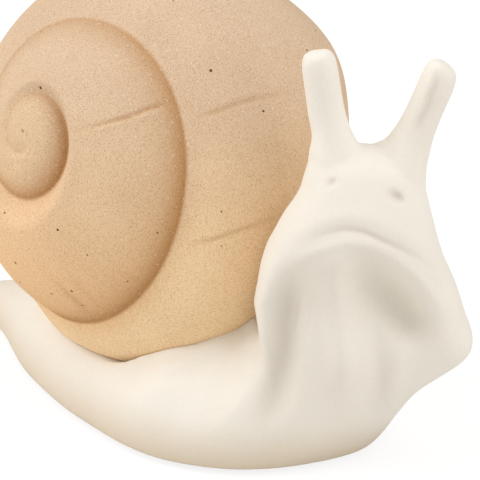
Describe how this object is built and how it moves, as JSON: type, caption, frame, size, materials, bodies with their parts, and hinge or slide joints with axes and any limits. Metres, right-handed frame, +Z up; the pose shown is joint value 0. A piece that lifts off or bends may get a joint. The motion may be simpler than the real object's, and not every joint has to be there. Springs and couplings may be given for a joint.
{
  "type": "snail figurine",
  "caption": "Ceramic snail ornament: smooth pale foot, neck and head with raised tentacles, and a sandy spiral shell seated in a saddle on its back.",
  "frame": {"origin": "on the ground, under the middle of the box round the whole figurine", "axes": "+Z up, the tail points along +Y and the head looks towards -Y, the shell's spire leans towards -X"},
  "size_m": [0.0916, 0.1722, 0.1128],
  "materials": {
    "body_ceramic": "matte",
    "shell_stoneware": "matte",
    "adhesive": "matte",
    "felt": "matte"
  },
  "bodies": {
    "root": {"body": "body_ceramic", "foot_pad_front_left": "felt", "foot_pad_front_right": "felt", "foot_pad_rear_left": "felt", "foot_pad_rear_right": "felt", "shell": "shell_stoneware", "shell_bond": "adhesive", "tentacle_left": "body_ceramic", "tentacle_right": "body_ceramic"}
  },
  "joints": []
}
